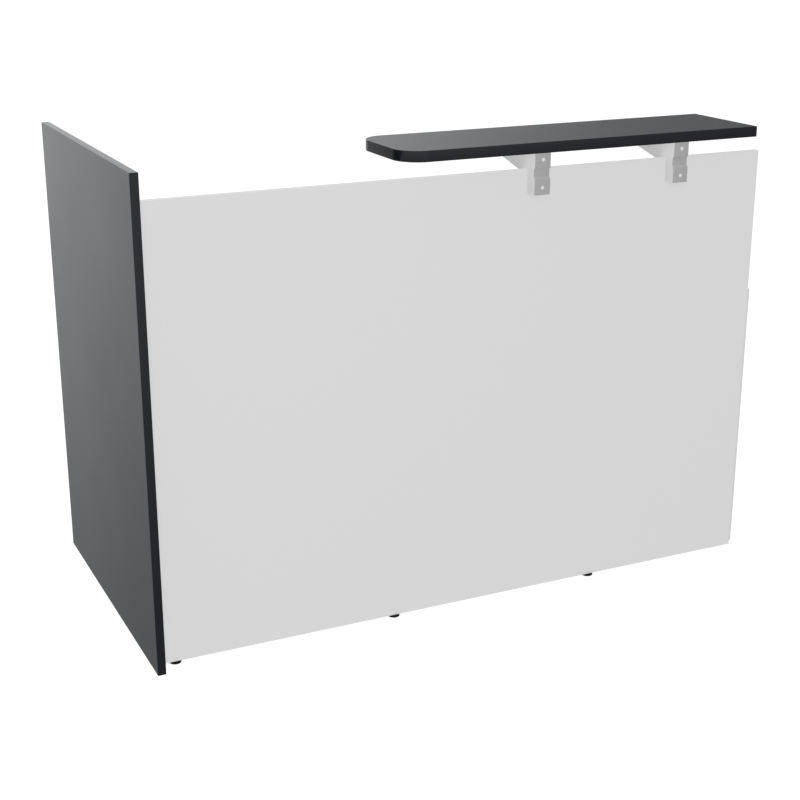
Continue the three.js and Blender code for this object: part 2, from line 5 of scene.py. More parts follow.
import bmesh
import bpy
import numpy as np
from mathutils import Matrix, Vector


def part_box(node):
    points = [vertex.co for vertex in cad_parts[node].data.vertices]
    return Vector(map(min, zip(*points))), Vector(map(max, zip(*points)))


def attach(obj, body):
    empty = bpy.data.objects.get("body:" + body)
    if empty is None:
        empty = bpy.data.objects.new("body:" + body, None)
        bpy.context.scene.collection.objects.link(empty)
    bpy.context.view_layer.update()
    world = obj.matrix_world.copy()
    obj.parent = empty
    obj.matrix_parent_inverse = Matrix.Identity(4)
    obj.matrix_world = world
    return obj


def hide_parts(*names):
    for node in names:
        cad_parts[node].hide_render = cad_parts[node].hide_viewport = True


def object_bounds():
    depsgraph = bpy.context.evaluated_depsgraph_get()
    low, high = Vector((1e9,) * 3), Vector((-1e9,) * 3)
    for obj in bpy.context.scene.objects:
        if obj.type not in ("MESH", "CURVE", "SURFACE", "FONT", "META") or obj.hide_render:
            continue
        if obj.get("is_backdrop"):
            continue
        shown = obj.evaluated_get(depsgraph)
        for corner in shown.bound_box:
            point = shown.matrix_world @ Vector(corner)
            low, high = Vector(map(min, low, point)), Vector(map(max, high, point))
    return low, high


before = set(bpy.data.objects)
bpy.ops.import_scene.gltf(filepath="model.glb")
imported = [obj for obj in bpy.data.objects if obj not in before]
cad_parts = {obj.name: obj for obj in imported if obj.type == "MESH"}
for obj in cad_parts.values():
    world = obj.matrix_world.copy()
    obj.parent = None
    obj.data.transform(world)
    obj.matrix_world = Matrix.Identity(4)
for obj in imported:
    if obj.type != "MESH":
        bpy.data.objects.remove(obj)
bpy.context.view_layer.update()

# Camera
# A visitor's view from the left of the desk and from above counter height, with a longer lens.
camera_place = (-1.5560, -3.2726, 1.6233)
camera_pitch = math.radians(71.508)
camera_yaw = math.radians(-25.152)
camera_lens = bpy.data.cameras.new("camera")
camera_lens.sensor_width = 36.0
camera_lens.lens = 66.61
camera = bpy.data.objects.new("camera", camera_lens)
camera.location = camera_place
camera.rotation_euler = (camera_pitch, 0.0, camera_yaw)
bpy.context.scene.collection.objects.link(camera)
bpy.context.scene.camera = camera
bpy.context.scene.view_settings.view_transform = "Standard"


# Studio
# A pale floor in an even white surround, with three soft lamps. What shines mirrors a studio that is bright
# behind the desk and dims to the right, in its far left corner and towards the ground. The surround is also
# sampled like a lamp, so that pieces which scattered rays pass still shade a little.
def add_nodes(tree, **kinds):
    """New nodes in a tree, named by keyword, as a dictionary."""
    made = {}
    for name, kind in kinds.items():
        made[name] = tree.nodes.new(kind)
        made[name].name = name
    return made


def chain(tree, *pairs):
    """Links each (from socket, to socket) pair."""
    for source, target in pairs:
        tree.links.new(source, target)


def port(sockets, name):
    """The socket of that name that the node has in use."""
    return next(socket for socket in sockets if socket.name == name and socket.enabled)


def set_range(node, low, high, low_value, high_value):
    """A Map Range node that eases from low_value at low to high_value at high, and holds beyond them."""
    node.interpolation_type = "SMOOTHSTEP"
    for socket, value in zip(node.inputs[1:5], (low, high, low_value, high_value)):
        socket.default_value = value


surround_light = 0.90
wall_paint = (0.988, 1.0, 1.014, 1.0)
plain_white = (1.0, 1.0, 1.0, 1.0)
surround = bpy.data.worlds.new("white_surround")
bpy.context.scene.world = surround
surround.use_nodes = True
surround.cycles.sampling_method = "MANUAL"
surround.cycles.sample_map_resolution = 256
tree = surround.node_tree
tree.nodes.clear()
n = add_nodes(
    tree,
    direction="ShaderNodeTexCoord",
    parts="ShaderNodeSeparateXYZ",
    rear_wall="ShaderNodeMapRange",
    front_wall="ShaderNodeMapRange",
    rearward="ShaderNodeMapRange",
    left_corner="ShaderNodeMapRange",
    rear="ShaderNodeMath",
    walls="ShaderNodeMix",
    ground="ShaderNodeMapRange",
    studio="ShaderNodeMath",
    rays="ShaderNodeLightPath",
    mirrored="ShaderNodeMix",
    seen="ShaderNodeMath",
    strength="ShaderNodeMix",
    paint="ShaderNodeMix",
    light="ShaderNodeBackground",
    out="ShaderNodeOutputWorld",
)
set_range(n["rear_wall"], low=0.17, high=0.62, low_value=0.99, high_value=0.215)
set_range(n["front_wall"], low=0.25, high=0.80, low_value=0.52, high_value=0.135)
set_range(n["rearward"], low=-0.30, high=0.30, low_value=0.0, high_value=1.0)
set_range(n["left_corner"], low=-0.44, high=-0.21, low_value=0.19, high_value=1.0)
set_range(n["ground"], low=-0.55, high=0.05, low_value=0.26, high_value=1.0)
n["rear"].operation = "MULTIPLY"
n["studio"].operation = "MULTIPLY"
n["seen"].operation = "MAXIMUM"
n["mirrored"].inputs["A"].default_value = surround_light
n["paint"].data_type = "RGBA"
port(n["paint"].inputs, "A").default_value = plain_white
port(n["paint"].inputs, "B").default_value = wall_paint
n["strength"].inputs["B"].default_value = 1.0
chain(
    tree,
    (n["direction"].outputs["Generated"], n["parts"].inputs["Vector"]),
    (n["parts"].outputs["X"], n["rear_wall"].inputs["Value"]),
    (n["parts"].outputs["X"], n["front_wall"].inputs["Value"]),
    (n["parts"].outputs["X"], n["left_corner"].inputs["Value"]),
    (n["parts"].outputs["Y"], n["rearward"].inputs["Value"]),
    (n["parts"].outputs["Z"], n["ground"].inputs["Value"]),
    (n["rear_wall"].outputs["Result"], n["rear"].inputs[0]),
    (n["left_corner"].outputs["Result"], n["rear"].inputs[1]),
    (n["rearward"].outputs["Result"], n["walls"].inputs["Factor"]),
    (n["front_wall"].outputs["Result"], n["walls"].inputs["A"]),
    (n["rear"].outputs["Value"], n["walls"].inputs["B"]),
    (n["walls"].outputs["Result"], n["studio"].inputs[0]),
    (n["ground"].outputs["Result"], n["studio"].inputs[1]),
    (n["rays"].outputs["Is Glossy Ray"], n["mirrored"].inputs["Factor"]),
    (n["studio"].outputs["Value"], n["mirrored"].inputs["B"]),
    (n["rays"].outputs["Is Camera Ray"], n["seen"].inputs[0]),
    (n["rays"].outputs["Is Transmission Ray"], n["seen"].inputs[1]),
    (n["seen"].outputs["Value"], n["strength"].inputs["Factor"]),
    (n["mirrored"].outputs["Result"], n["strength"].inputs["A"]),
    (n["strength"].outputs["Result"], n["light"].inputs["Strength"]),
    (n["rays"].outputs["Is Glossy Ray"], port(n["paint"].inputs, "Factor")),
    (port(n["paint"].outputs, "Result"), n["light"].inputs["Color"]),
    (n["light"].outputs["Background"], n["out"].inputs["Surface"]),
)

floor_half = 30.0
floor_colour = (0.5, 0.5, 0.5, 1.0)
floor_lift = 0.62
floor_mesh = bpy.data.meshes.new("floor")
floor_corners = floor_half * np.array([[-1, -1, 0], [1, -1, 0], [1, 1, 0], [-1, 1, 0]], float)
floor_mesh.from_pydata(floor_corners.tolist(), [], [(0, 1, 2, 3)])
floor = bpy.data.objects.new("floor", floor_mesh)
bpy.context.scene.collection.objects.link(floor)
floor.visible_glossy = False
floor.visible_diffuse = False
floor.visible_shadow = False
floor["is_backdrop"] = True
paper = bpy.data.materials.new("floor_paper")
paper.use_nodes = True
tree = paper.node_tree
shader = tree.nodes["Principled BSDF"]
shader.inputs["Base Color"].default_value = floor_colour
shader.inputs["Roughness"].default_value = 1.0
shader.inputs["Specular IOR Level"].default_value = 0.0
shader.inputs["Emission Color"].default_value = plain_white
n = add_nodes(tree, rays="ShaderNodeLightPath", seen="ShaderNodeMath", lift="ShaderNodeMath")
n["seen"].operation = "MAXIMUM"
n["lift"].operation = "MULTIPLY"
n["lift"].inputs[1].default_value = floor_lift
chain(
    tree,
    (n["rays"].outputs["Is Camera Ray"], n["seen"].inputs[0]),
    (n["rays"].outputs["Is Transmission Ray"], n["seen"].inputs[1]),
    (n["seen"].outputs["Value"], n["lift"].inputs[0]),
    (n["lift"].outputs["Value"], shader.inputs["Emission Strength"]),
)
floor_mesh.materials.append(paper)


def softbox(name, place, aim, size, power, shades=True):
    """A square area lamp at a place, turned to an aim, that lights and does not mirror. It casts shadows
    unless told not to."""
    lamp = bpy.data.lights.new(name, "AREA")
    lamp.shape = "SQUARE"
    lamp.size = size
    lamp.energy = power
    lamp.use_shadow = shades
    box = bpy.data.objects.new(name, lamp)
    box.location = place
    box.rotation_euler = (Vector(aim) - Vector(place)).to_track_quat("-Z", "Y").to_euler()
    box.visible_glossy = False
    bpy.context.scene.collection.objects.link(box)


softbox("front_softbox", place=(-2.0, -4.6, 2.6), aim=(0.0, 0.0, 0.6), size=2.0, power=26.0)
softbox("rear_softbox", place=(-3.0, 3.2, 1.25), aim=(0.1, -0.25, 1.07), size=1.0, power=12.0)
softbox(
    "overhead_softbox", place=(-0.1, 0.6, 4.0), aim=(0.0, -0.2, 1.0), size=2.0, power=18.0, shades=False
)


# Left end panel
# A tall board that stands on the floor and carries one end of the desk: particle board faced with
# anthracite melamine on both sides, its front, rear and top edges closed with plastic edging.
def effect_group(name, **inputs):
    """A shader group with inputs by name and default, whose outputs are Colour, Roughness and Height."""
    group = bpy.data.node_groups.new(name, "ShaderNodeTree")
    for label, value in inputs.items():
        kind = "NodeSocketColor" if isinstance(value, tuple) else "NodeSocketFloat"
        group.interface.new_socket(label, in_out="INPUT", socket_type=kind).default_value = value
    for label, kind in (("Colour", "Color"), ("Roughness", "Float"), ("Height", "Float")):
        group.interface.new_socket(label, in_out="OUTPUT", socket_type="NodeSocket" + kind)
    return group


plain_grey = (0.5, 0.5, 0.5, 1.0)


def pressed_laminate():
    """A laminate's pressed face. Fine noise is its pearl texture, as height and as a slight change of tone;
    broad noise times Smudge, added to Roughness, is where hands and cloths have been."""
    group = effect_group(
        "pressed_laminate",
        Colour=plain_grey,
        Fleck=plain_grey,
        Pearl=900.0,
        Roughness=0.3,
        Smudge=0.1,
    )
    n = add_nodes(
        group,
        values="NodeGroupInput",
        place="ShaderNodeTexCoord",
        pearl="ShaderNodeTexNoise",
        broad="ShaderNodeTexNoise",
        flecks="ShaderNodeMapRange",
        tone="ShaderNodeMix",
        smudges="ShaderNodeMath",
        out="NodeGroupOutput",
    )
    n["pearl"].inputs["Detail"].default_value = 2.0
    n["broad"].inputs["Scale"].default_value = 4.0
    n["broad"].inputs["Detail"].default_value = 4.0
    set_range(n["flecks"], low=0.35, high=0.65, low_value=0.0, high_value=1.0)
    n["tone"].data_type = "RGBA"
    n["smudges"].operation = "MULTIPLY_ADD"
    chain(
        group,
        (n["place"].outputs["Object"], n["pearl"].inputs["Vector"]),
        (n["place"].outputs["Object"], n["broad"].inputs["Vector"]),
        (n["values"].outputs["Pearl"], n["pearl"].inputs["Scale"]),
        (n["pearl"].outputs["Fac"], n["flecks"].inputs["Value"]),
        (n["flecks"].outputs["Result"], port(n["tone"].inputs, "Factor")),
        (n["values"].outputs["Colour"], port(n["tone"].inputs, "A")),
        (n["values"].outputs["Fleck"], port(n["tone"].inputs, "B")),
        (n["broad"].outputs["Fac"], n["smudges"].inputs[0]),
        (n["values"].outputs["Smudge"], n["smudges"].inputs[1]),
        (n["values"].outputs["Roughness"], n["smudges"].inputs[2]),
        (port(n["tone"].outputs, "Result"), n["out"].inputs["Colour"]),
        (n["smudges"].outputs["Value"], n["out"].inputs["Roughness"]),
        (n["pearl"].outputs["Fac"], n["out"].inputs["Height"]),
    )
    return group


def rubbed_edging():
    """Extruded edging. The strip's rub attribute times noise says where hands have polished its rounds:
    there Colour turns to Rubbed and Polish is taken off the Roughness. Fine noise is its height."""
    group = effect_group(
        "rubbed_edging",
        Colour=plain_grey,
        Rubbed=plain_grey,
        Grain=1200.0,
        Roughness=0.3,
        Polish=0.1,
    )
    n = add_nodes(
        group,
        values="NodeGroupInput",
        place="ShaderNodeTexCoord",
        rub="ShaderNodeAttribute",
        patches="ShaderNodeTexNoise",
        grain="ShaderNodeTexNoise",
        worn="ShaderNodeMath",
        tone="ShaderNodeMix",
        polish="ShaderNodeMath",
        gloss="ShaderNodeMath",
        out="NodeGroupOutput",
    )
    n["rub"].attribute_name = "rub"
    n["patches"].inputs["Scale"].default_value = 25.0
    n["patches"].inputs["Detail"].default_value = 3.0
    n["tone"].data_type = "RGBA"
    n["worn"].operation = "MULTIPLY"
    n["polish"].operation = "MULTIPLY"
    n["gloss"].operation = "SUBTRACT"
    chain(
        group,
        (n["place"].outputs["Object"], n["patches"].inputs["Vector"]),
        (n["place"].outputs["Object"], n["grain"].inputs["Vector"]),
        (n["values"].outputs["Grain"], n["grain"].inputs["Scale"]),
        (n["rub"].outputs["Fac"], n["worn"].inputs[0]),
        (n["patches"].outputs["Fac"], n["worn"].inputs[1]),
        (n["worn"].outputs["Value"], port(n["tone"].inputs, "Factor")),
        (n["values"].outputs["Colour"], port(n["tone"].inputs, "A")),
        (n["values"].outputs["Rubbed"], port(n["tone"].inputs, "B")),
        (n["worn"].outputs["Value"], n["polish"].inputs[0]),
        (n["values"].outputs["Polish"], n["polish"].inputs[1]),
        (n["values"].outputs["Roughness"], n["gloss"].inputs[0]),
        (n["polish"].outputs["Value"], n["gloss"].inputs[1]),
        (port(n["tone"].outputs, "Result"), n["out"].inputs["Colour"]),
        (n["gloss"].outputs["Value"], n["out"].inputs["Roughness"]),
        (n["grain"].outputs["Fac"], n["out"].inputs["Height"]),
    )
    return group


def finish(name, effect, bump_height, values, constants):
    """A material whose colour, roughness and bump come from an effect group with its own values. The
    constants go straight onto the Principled shader."""
    material = bpy.data.materials.new(name)
    material.use_nodes = True
    tree = material.node_tree
    shader = tree.nodes["Principled BSDF"]
    n = add_nodes(tree, effect="ShaderNodeGroup", bump="ShaderNodeBump")
    n["effect"].node_tree = effect
    n["bump"].inputs["Distance"].default_value = bump_height
    for label, value in values.items():
        n["effect"].inputs[label].default_value = value
    for label, value in constants.items():
        shader.inputs[label].default_value = value
    chain(
        tree,
        (n["effect"].outputs["Colour"], shader.inputs["Base Color"]),
        (n["effect"].outputs["Roughness"], shader.inputs["Roughness"]),
        (n["effect"].outputs["Height"], n["bump"].inputs["Height"]),
        (n["bump"].outputs["Normal"], shader.inputs["Normal"]),
    )
    return material


laminate_effect = pressed_laminate()
edging_effect = rubbed_edging()
dark_laminate = finish(
    "dark_laminate",
    laminate_effect,
    bump_height=0.000004,
    values={
        "Colour": (0.0054, 0.0073, 0.0130, 1.0),
        "Fleck": (0.0070, 0.0090, 0.0156, 1.0),
        "Pearl": 900.0,
        "Roughness": 0.16,
        "Smudge": 0.08,
    },
    constants={"Specular IOR Level": 0.7},
)
dark_edging = finish(
    "dark_edging",
    edging_effect,
    bump_height=0.000003,
    values={
        "Colour": (0.0064, 0.0070, 0.0104, 1.0),
        "Rubbed": (0.0110, 0.0116, 0.0150, 1.0),
        "Grain": 1200.0,
        "Roughness": 0.22,
        "Polish": 0.08,
    },
    constants={"Specular IOR Level": 0.7},
)


def dress(material, *nodes):
    """Gives CAD nodes, by name, their finish."""
    for name in nodes:
        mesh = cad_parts[name].data
        mesh.materials.clear()
        mesh.materials.append(material)


def let_light_past(*pieces, mirrored=True):
    """Scattered rays pass these pieces and find the surround behind them, so they shade what stands near
    them only faintly. If they are not mirrored, glossy surfaces show the studio in their place."""
    for piece in pieces:
        piece.visible_diffuse = False
        piece.visible_glossy = mirrored


moulded_angle = 40.0
merge_distance = 1e-7


def shell(name, points, closed=False, rub=None, sharp=moulded_angle):
    """A mesh on a grid of points, or on a stack of grids: a quad between each two neighbours along both
    parameters, the second one closed on itself if asked. Doubles merge, so rings that shrink to a point or
    to a line close the ends, and normals turn outwards. Edges sharper than an angle in degrees stay
    sharp."""
    grids = points.reshape(-1, *points.shape[-3:])
    count, rows, columns = grids.shape[:3]
    index = np.arange(count * rows * columns).reshape(count, rows, columns)
    if closed:
        index = np.concatenate([index, index[:, :, :1]], axis=2)
    corners = (index[:, :-1, :-1], index[:, :-1, 1:], index[:, 1:, 1:], index[:, 1:, :-1])
    mesh = bpy.data.meshes.new(name)
    mesh.from_pydata(grids.reshape(-1, 3).tolist(), [], np.stack(corners, -1).reshape(-1, 4).tolist())
    if rub is not None:
        attribute = mesh.attributes.new("rub", "FLOAT", "POINT")
        attribute.data.foreach_set("value", np.ascontiguousarray(rub, np.float32).ravel())
    work = bmesh.new()
    work.from_mesh(mesh)
    bmesh.ops.remove_doubles(work, verts=work.verts, dist=merge_distance)
    bmesh.ops.recalc_face_normals(work, faces=work.faces)
    work.to_mesh(mesh)
    work.free()
    mesh.shade_smooth()
    mesh.set_sharp_from_angle(angle=math.radians(sharp))
    piece = bpy.data.objects.new(name, mesh)
    bpy.context.scene.collection.objects.link(piece)
    return piece


def stand_in(piece, material, slot, body, *nodes):
    """A new piece takes a finish, rides on a body, and replaces CAD nodes if any are named. The slot is not
    used.
    """
    piece.data.materials.append(material)
    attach(piece, body)
    if nodes:
        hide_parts(*nodes)
    return piece


edging_thickness = 0.002
edging_radius = 0.001
round_steps = 7


def edging_profile(half):
    """Section of a strip on a board of a half thickness: across runs from half to -half and out from the
    board's edge at 0 to the strip's thickness, with a quarter circle at each outer corner. Rub is the
    square of sin(2 angle) along those arcs, so it peaks in the middle of each round."""
    quarter = np.linspace(0.0, math.pi / 2, round_steps)
    angle = np.concatenate([quarter, quarter + math.pi / 2])
    side = np.repeat([half - edging_radius, edging_radius - half], round_steps)
    across = np.concatenate([[half], side + edging_radius * np.cos(angle), [-half]])
    arcs = edging_thickness - edging_radius + edging_radius * np.sin(angle)
    out = np.concatenate([[0.0], arcs, [0.0]])
    rub = np.concatenate([[0.0], np.sin(2 * angle) ** 2, [0.0]])
    return across, out, rub


def carry(centre, outward, across_axis, half, limit):
    """The section carried along a path: point = centre + across * across_axis + min(out, limit) * outward
    at each step, with the path's first and last steps drawn together to a point to close the ends."""
    across, out, rub = edging_profile(half)
    out = np.minimum(out[None, :], limit[:, None])
    points = (
        centre[:, None, :]
        + across[None, :, None] * across_axis
        + out[:, :, None] * outward[:, None, :]
    )
    ends = points[[0, -1]].mean(axis=1, keepdims=True).repeat(points.shape[1], axis=1)
    points = np.concatenate([ends[:1], points, ends[1:]])
    return points, np.broadcast_to(rub, points.shape[:2])


def straight_edging(node, along, outward, rounded, material, slot):
    """A straight strip in a CAD strip's box. Along is its axis, outward an axis with a sign, and rounded
    says which of its two ends is rounded over: there the limit of its height follows a quarter circle."""
    low, high = (np.array(corner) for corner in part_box(node))
    out_axis = abs(outward) - 1
    across = 3 - along - out_axis
    quarter = np.linspace(0.0, math.pi / 2, round_steps)
    inset = edging_radius * (1.0 - np.cos(quarter))
    height = edging_thickness - edging_radius * (1.0 - np.sin(quarter))
    square = (np.zeros(1), np.full(1, edging_thickness))
    first = (inset, height) if rounded[0] else square
    last = (inset, height) if rounded[1] else square
    place = np.concatenate([low[along] + first[0], high[along] - last[0][::-1]])
    centre = np.tile((low + high) / 2, (len(place), 1))
    centre[:, along] = place
    centre[:, out_axis] = low[out_axis] if outward > 0 else high[out_axis]
    direction = np.zeros((len(place), 3))
    direction[:, out_axis] = math.copysign(1.0, outward)
    limit = np.concatenate([first[1], last[1][::-1]])
    half = (high - low)[across] / 2
    points, rub = carry(centre, direction, np.eye(3)[across], half, limit)
    strip = shell(node.replace("edging", "strip"), points, closed=True, rub=rub)
    return stand_in(strip, material, slot, "desk", node)


X, Y, Z = 0, 1, 2
OUT_X, OUT_Y, OUT_Z = 1, 2, 3
square_ends = (False, False)
round_top = (False, True)
round_ends = (True, True)
dress(dark_laminate, "left_end_panel")
let_light_past(
    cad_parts["left_end_panel"],
    straight_edging("left_end_front_edging", Z, -OUT_Y, round_top, dark_edging, "dark_edging"),
    straight_edging("left_end_rear_edging", Z, OUT_Y, round_top, dark_edging, "dark_edging"),
    straight_edging("left_end_top_edging", Y, OUT_Z, square_ends, dark_edging, "dark_edging"),
)

# Front panel
# The large white board that hides the desk's inside, faced with melamine, with edging on its top and its
# right end. Cam fittings draw it to the left end panel, and inserts in its face take the bracket bolts.
white_laminate = finish(
    "white_laminate",
    laminate_effect,
    bump_height=0.000004,
    values={
        "Colour": (0.69, 0.69, 0.69, 1.0),
        "Fleck": (0.71, 0.71, 0.71, 1.0),
        "Pearl": 900.0,
        "Roughness": 0.40,
        "Smudge": 0.10,
    },
    constants={"Specular IOR Level": 0.3},
)
white_edging = finish(
    "white_edging",
    edging_effect,
    bump_height=0.000003,
    values={
        "Colour": (0.68, 0.68, 0.68, 1.0),
        "Rubbed": (0.66, 0.66, 0.655, 1.0),
        "Grain": 1200.0,
        "Roughness": 0.42,
        "Polish": 0.12,
    },
    constants={"Specular IOR Level": 0.15},
)
dress(white_laminate, "front_panel")
straight_edging("front_panel_top_edging", X, OUT_Z, square_ends, white_edging, "white_edging")
straight_edging("front_panel_right_edging", Z, OUT_X, round_top, white_edging, "white_edging")


# Cam fittings and inserts
# Cast zinc drums turn in the boards and pull plated steel bolts into them. Each bracket bolt ends in a
# plated sleeve that is pressed into the front panel.
def plated_metal():
    """Plated or cast metal. Cells of a Voronoi pattern are the crystals' tones, between Colour and Dull,
    and broad noise times Spread is added to the Roughness. The cells' distance is the height."""
    group = effect_group(
        "plated_metal",
        Colour=plain_grey,
        Dull=plain_grey,
        Crystals=400.0,
        Roughness=0.3,
        Spread=0.1,
    )
    n = add_nodes(
        group,
        values="NodeGroupInput",
        place="ShaderNodeTexCoord",
        crystals="ShaderNodeTexVoronoi",
        cell="ShaderNodeSeparateColor",
        tone="ShaderNodeMix",
        stains="ShaderNodeTexNoise",
        gloss="ShaderNodeMath",
        out="NodeGroupOutput",
    )
    n["tone"].data_type = "RGBA"
    n["stains"].inputs["Scale"].default_value = 120.0
    n["stains"].inputs["Detail"].default_value = 3.0
    n["gloss"].operation = "MULTIPLY_ADD"
    chain(
        group,
        (n["place"].outputs["Object"], n["crystals"].inputs["Vector"]),
        (n["place"].outputs["Object"], n["stains"].inputs["Vector"]),
        (n["values"].outputs["Crystals"], n["crystals"].inputs["Scale"]),
        (n["crystals"].outputs["Color"], n["cell"].inputs["Color"]),
        (n["cell"].outputs["Red"], port(n["tone"].inputs, "Factor")),
        (n["values"].outputs["Colour"], port(n["tone"].inputs, "A")),
        (n["values"].outputs["Dull"], port(n["tone"].inputs, "B")),
        (n["stains"].outputs["Fac"], n["gloss"].inputs[0]),
        (n["values"].outputs["Spread"], n["gloss"].inputs[1]),
        (n["values"].outputs["Roughness"], n["gloss"].inputs[2]),
        (port(n["tone"].outputs, "Result"), n["out"].inputs["Colour"]),
        (n["gloss"].outputs["Value"], n["out"].inputs["Roughness"]),
        (n["crystals"].outputs["Distance"], n["out"].inputs["Height"]),
    )
    return group


metal_effect = plated_metal()
zinc_steel = finish(
    "zinc_steel",
    metal_effect,
    bump_height=0.000002,
    values={
        "Colour": (0.76, 0.77, 0.78, 1.0),
        "Dull": (0.64, 0.65, 0.67, 1.0),
        "Crystals": 1500.0,
        "Roughness": 0.26,
        "Spread": 0.16,
    },
    constants={"Metallic": 0.7},
)
diecast_zinc = finish(
    "diecast_zinc",
    metal_effect,
    bump_height=0.00001,
    values={
        "Colour": (0.66, 0.67, 0.68, 1.0),
        "Dull": (0.56, 0.57, 0.59, 1.0),
        "Crystals": 700.0,
        "Roughness": 0.36,
        "Spread": 0.20,
    },
    constants={"Metallic": 0.5},
)
cam_places = ("front_lower", "front_middle", "front_upper", "worktop_front", "worktop_rear")
dress(diecast_zinc, *(f"cam_{place}" for place in cam_places))
dress(zinc_steel, *(f"cam_bolt_{place}" for place in cam_places))
dress(zinc_steel, "bracket_left_panel_insert", "bracket_right_panel_insert")


# Levelling feet
# Five round black feet on threaded stems turn in plated sleeves in the boards' lower edges. The feet are
# turned steel with a black coat, and take up an uneven floor.
def powder_coat():
    """A stoved powder coat. Smooth noise is its orange peel, as height and, times Spread, as roughness.
    Very fine noise above a threshold is the specks that turn Colour to Speck."""
    group = effect_group(
        "powder_coat",
        Colour=plain_grey,
        Speck=plain_grey,
        Peel=500.0,
        Roughness=0.3,
        Spread=0.1,
    )
    n = add_nodes(
        group,
        values="NodeGroupInput",
        place="ShaderNodeTexCoord",
        peel="ShaderNodeTexNoise",
        powder="ShaderNodeTexNoise",
        specks="ShaderNodeMapRange",
        tone="ShaderNodeMix",
        gloss="ShaderNodeMath",
        out="NodeGroupOutput",
    )
    n["peel"].inputs["Detail"].default_value = 0.0
    n["powder"].inputs["Scale"].default_value = 3000.0
    set_range(n["specks"], low=0.55, high=0.70, low_value=0.0, high_value=1.0)
    n["tone"].data_type = "RGBA"
    n["gloss"].operation = "MULTIPLY_ADD"
    chain(
        group,
        (n["place"].outputs["Object"], n["peel"].inputs["Vector"]),
        (n["place"].outputs["Object"], n["powder"].inputs["Vector"]),
        (n["values"].outputs["Peel"], n["peel"].inputs["Scale"]),
        (n["powder"].outputs["Fac"], n["specks"].inputs["Value"]),
        (n["specks"].outputs["Result"], port(n["tone"].inputs, "Factor")),
        (n["values"].outputs["Colour"], port(n["tone"].inputs, "A")),
        (n["values"].outputs["Speck"], port(n["tone"].inputs, "B")),
        (n["peel"].outputs["Fac"], n["gloss"].inputs[0]),
        (n["values"].outputs["Spread"], n["gloss"].inputs[1]),
        (n["values"].outputs["Roughness"], n["gloss"].inputs[2]),
        (port(n["tone"].outputs, "Result"), n["out"].inputs["Colour"]),
        (n["gloss"].outputs["Value"], n["out"].inputs["Roughness"]),
        (n["peel"].outputs["Fac"], n["out"].inputs["Height"]),
    )
    return group


coat_effect = powder_coat()
foot_steel_black = finish(
    "foot_steel_black",
    coat_effect,
    bump_height=0.00001,
    values={
        "Colour": (0.0035, 0.0035, 0.0035, 1.0),
        "Speck": (0.0060, 0.0060, 0.0060, 1.0),
        "Peel": 900.0,
        "Roughness": 0.45,
        "Spread": 0.15,
    },
    constants={"Specular IOR Level": 0.2},
)


def arc(centre_radius, centre_height, radius, start, end, steps=6):
    """Points (radius, height) on a round of a turned profile, from one angle in degrees to another."""
    angle = np.radians(np.linspace(start, end, steps))
    return np.stack([centre_radius + radius * np.cos(angle), centre_height + radius * np.sin(angle)], -1)


thread_share = 0.6


def thread(radius, pitch, start, end, steps, theta):
    """Rings of a thread: radius - depth * ridge, where ridge is a triangle wave of height / pitch less the
    turn theta / 2 pi, and fades out over the last pitch at both ends. Depth is a share of the pitch."""
    height = np.linspace(start, end, max(2, int(round((end - start) / pitch * steps))))[:, None]
    phase = height / pitch - theta / (2 * math.pi)
    ridge = 2 * np.abs(phase - np.floor(phase) - 0.5)
    fade = np.clip(np.minimum(height - start, end - height) / pitch, 0.0, 1.0)
    return radius - thread_share * pitch * ridge * fade, np.broadcast_to(height, ridge.shape)


def turn(place, axes, radius, height, theta):
    """Rings turned about an axis: place + radius * (cos, sin of theta) along the first two axes + height
    along the third."""
    ring = (radius * np.cos(theta), radius * np.sin(theta), height)
    return np.asarray(place) + sum(part[..., None] * axis for part, axis in zip(ring, axes))


pad_height = 0.00475
pad_lower_round = 0.0006
pad_upper_round = 0.00075
stem_radius = 0.004
stem_pitch = 0.00125
stem_chamfer = 0.001
stem_thread_steps = 6
turned_sides = 48
full_turn = np.linspace(0.0, 2 * math.pi, turned_sides, endpoint=False)


def levelling_foot(name):
    """A foot in its CAD solid's box: a pad with two rounded edges, turned as rings of (radius, height), and
    on it a threaded stem that ends in a chamfer."""
    low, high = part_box(name)
    pad_radius = (high.x - low.x) / 2
    pad = np.concatenate([
        [[0.0, 0.0]],
        arc(pad_radius - pad_lower_round, pad_lower_round, pad_lower_round, -90.0, 0.0),
        arc(pad_radius - pad_upper_round, pad_height - pad_upper_round, pad_upper_round, 0.0, 90.0),
        [[stem_radius, pad_height]],
    ])
    top = high.z - low.z
    stem = thread(stem_radius, stem_pitch, pad_height, top - stem_chamfer, stem_thread_steps, full_turn)
    tip = np.array([[stem_radius - stem_chamfer, top], [0.0, top]])
    even = np.ones_like(full_turn)
    radius = np.concatenate([pad[:, :1] * even, stem[0], tip[:, :1] * even])
    height = np.concatenate([pad[:, 1:] * even, stem[1], tip[:, 1:] * even])
    place = ((low.x + high.x) / 2, (low.y + high.y) / 2, low.z)
    foot = shell(f"levelling_{name}", turn(place, np.eye(3), radius, height, full_turn), closed=True)
    stand_in(foot, foot_steel_black, "foot_steel_black", f"{name}_body", name)


for place in ("front_left", "front_middle", "front_right", "end_front", "end_rear"):
    levelling_foot(f"foot_{place}")
    dress(zinc_steel, f"socket_{place}")

# Right end panel
# The low white board that carries the worktop's right end, with edging on its front and rear edges and two
# levelling feet. Two plated angle plates hold it to the front panel's back.
dress(white_laminate, "right_end_panel")
straight_edging("right_end_front_edging", Z, -OUT_Y, square_ends, white_edging, "white_edging")
straight_edging("right_end_rear_edging", Z, OUT_Y, square_ends, white_edging, "white_edging")


facet_join = 0.000001
fold_facet_angle = math.radians(50.0)


